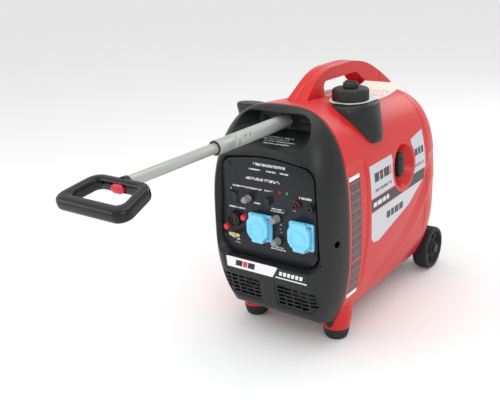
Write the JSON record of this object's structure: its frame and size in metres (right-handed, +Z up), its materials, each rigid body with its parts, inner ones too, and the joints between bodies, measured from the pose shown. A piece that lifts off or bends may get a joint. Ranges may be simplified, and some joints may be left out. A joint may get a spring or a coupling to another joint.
{
  "type": "inverter generator",
  "caption": "Suitcase inverter generator with a telescopic pull handle, top carry handle, rear wheels, fuel cap, recoil starter and a front control panel.",
  "frame": {"origin": "bottom centre of the whole object's box with the pull handle fully out, on the ground", "axes": "+Z up, the control panel and the pull handle face -Y, the wheels are at +Y, the fuel cap and the starter are on the +X side"},
  "size_m": [0.274, 0.9206, 0.4889],
  "materials": {
    "red_case": "injection-moulded, satin gloss",
    "black_case": "injection-moulded, fine grain",
    "panel_black": "printed panel film",
    "socket_blue": "moulded light blue",
    "tube_grey": "satin grey lacquer on drawn tube",
    "grip_black": "polished moulding",
    "button_red": "moulded",
    "rubber": "moulded",
    "brass": "plated, turned",
    "steel": "drawn and pressed",
    "cast_aluminium": "die-cast",
    "copper_winding": "enamelled copper wire on a laminated core",
    "paper": "coated paper tag",
    "clear_boot": "clear moulded boot",
    "led_red": "lamp lens",
    "led_green": "lamp lens",
    "tank_plastic": "blow-moulded"
  },
  "bodies": {
    "chassis": {"right_shell": "red_case", "left_shell": "red_case", "service_cover": "red_case", "rear_cover": "black_case", "rear_grille": "black_case", "front_housing": "black_case", "parallel_terminal_left": "black_case", "parallel_terminal_right": "black_case", "dc_socket": "black_case", "filler_shoulder": "black_case", "left_shoulder_cover": "black_case", "base_pan": "black_case", "axle_cap_left": "black_case", "axle_cap_right": "black_case", "axle_bracket": "black_case", "starter_housing": "black_case", "air_cleaner": "black_case", "oil_filler_cap": "black_case", "control_panel": "panel_black", "socket_left_base": "socket_blue", "socket_right_base": "socket_blue", "front_foot_left": "rubber", "front_foot_right": "rubber", "engine_mount_left": "rubber", "engine_mount_right": "rubber", "ground_stud": "brass", "handle_guide": "steel", "axle": "steel", "muffler": "steel", "exhaust_outlet": "steel", "engine_block": "cast_aluminium", "cylinder_head": "cast_aluminium", "carburettor": "cast_aluminium", "inverter_module": "cast_aluminium", "stator": "copper_winding", "paper_tag": "paper", "oil_lamp": "led_red", "overload_lamp": "led_red", "output_lamp": "led_green", "fuel_tank": "tank_plastic"},
    "stage_one": {"handle_stage_one": "tube_grey"},
    "pull_grip": {"handle_stage_two": "tube_grey", "grip": "grip_black"},
    "release": {"release_button": "button_red"},
    "cap": {"fuel_cap": "black_case"},
    "vent": {"vent_knob": "black_case"},
    "recoil_pull": {"recoil_grip": "black_case", "starter_rope": "rubber"},
    "pulley": {"starter_pulley": "black_case"},
    "wheel_l": {"wheel_left": "rubber"},
    "wheel_r": {"wheel_right": "rubber"},
    "lid_left": {"socket_left_lid": "socket_blue"},
    "lid_right": {"socket_right_lid": "socket_blue"},
    "rocker": {"rocker_switch": "black_case"},
    "breaker_dc": {"dc_breaker": "clear_boot"},
    "breaker_ac_upper": {"ac_breaker_upper": "clear_boot"},
    "breaker_ac_lower": {"ac_breaker_lower": "clear_boot"},
    "reset": {"reset_button": "black_case"},
    "wing_nut": {"ground_wing_nut": "brass"},
    "crank": {"crankshaft": "steel"}
  },
  "joints": [
    {"name": "handle_stage_one_slide", "type": "slide", "parent": "chassis", "child": "stage_one", "axis": [0, 1, 0], "range_m": [0, 0.205]},
    {"name": "handle_stage_two_slide", "type": "slide", "parent": "stage_one", "child": "pull_grip", "axis": [0, 1, 0], "range_m": [0, 0.188]},
    {"name": "release_button_press", "type": "slide", "parent": "pull_grip", "child": "release", "axis": [0, 0.9751, 0.2215], "range_m": [0, 0.004], "stiffness_N_per_m": 400},
    {"name": "fuel_cap_turn", "type": "hinge", "parent": "chassis", "child": "cap", "pos_m": [0.07, 0.13232, 0.4362], "axis": [0, 0, 1], "range_deg": [0, 120]},
    {"name": "vent_knob_turn", "type": "hinge", "parent": "cap", "child": "vent", "pos_m": [0.07, 0.13232, 0.4362], "axis": [0, 0, 1], "range_deg": [0, 90]},
    {"name": "recoil_pull_slide", "type": "slide", "parent": "chassis", "child": "recoil_pull", "axis": [1, 0, 0], "range_m": [0, 0.2], "stiffness_N_per_m": 60},
    {"name": "starter_pulley_turn", "type": "hinge", "parent": "chassis", "child": "pulley", "pos_m": [0, 0.23132, 0.2519], "axis": [0, 1, 0], "range_deg": [0, 305]},
    {"name": "wheel_left_spin", "type": "hinge", "parent": "chassis", "child": "wheel_l", "pos_m": [-0.1135, 0.41332, 0.047], "axis": [1, 0, 0], "continuous": true},
    {"name": "wheel_right_spin", "type": "hinge", "parent": "chassis", "child": "wheel_r", "pos_m": [0.1135, 0.41332, 0.047], "axis": [1, 0, 0], "continuous": true},
    {"name": "socket_lid_left_hinge", "type": "hinge", "parent": "chassis", "child": "lid_left", "pos_m": [-0.0148, -0.05668, 0.2535], "axis": [-1, 0, 0], "range_deg": [0, 100], "stiffness_Nm_per_rad": 0.02},
    {"name": "socket_lid_right_hinge", "type": "hinge", "parent": "chassis", "child": "lid_right", "pos_m": [0.0731, -0.05668, 0.2535], "axis": [-1, 0, 0], "range_deg": [0, 100], "stiffness_Nm_per_rad": 0.02},
    {"name": "rocker_switch_rock", "type": "hinge", "parent": "chassis", "child": "rocker", "pos_m": [-0.074, -0.04668, 0.279], "axis": [-1, 0, 0], "range_deg": [0, 20]},
    {"name": "dc_breaker_press", "type": "slide", "parent": "chassis", "child": "breaker_dc", "axis": [0, 1, 0], "range_m": [0, 0.003], "stiffness_N_per_m": 400},
    {"name": "ac_breaker_upper_press", "type": "slide", "parent": "chassis", "child": "breaker_ac_upper", "axis": [0, 1, 0], "range_m": [0, 0.003], "stiffness_N_per_m": 400},
    {"name": "ac_breaker_lower_press", "type": "slide", "parent": "chassis", "child": "breaker_ac_lower", "axis": [0, 1, 0], "range_m": [0, 0.003], "stiffness_N_per_m": 400},
    {"name": "reset_button_press", "type": "slide", "parent": "chassis", "child": "reset", "axis": [0, 1, 0], "range_m": [0, 0.003], "stiffness_N_per_m": 400},
    {"name": "wing_nut_turn", "type": "hinge", "parent": "chassis", "child": "wing_nut", "pos_m": [-0.07, -0.04668, 0.2068], "axis": [0, 1, 0], "range_deg": [0, 360]},
    {"name": "crankshaft_spin", "type": "hinge", "parent": "chassis", "child": "crank", "pos_m": [0, 0.25732, 0.2519], "axis": [0, 1, 0], "continuous": true}
  ],
  "couplings": [
    {"joint": "starter_pulley_turn", "follows": "recoil_pull_slide", "rad_per_m": 26.316}
  ]
}
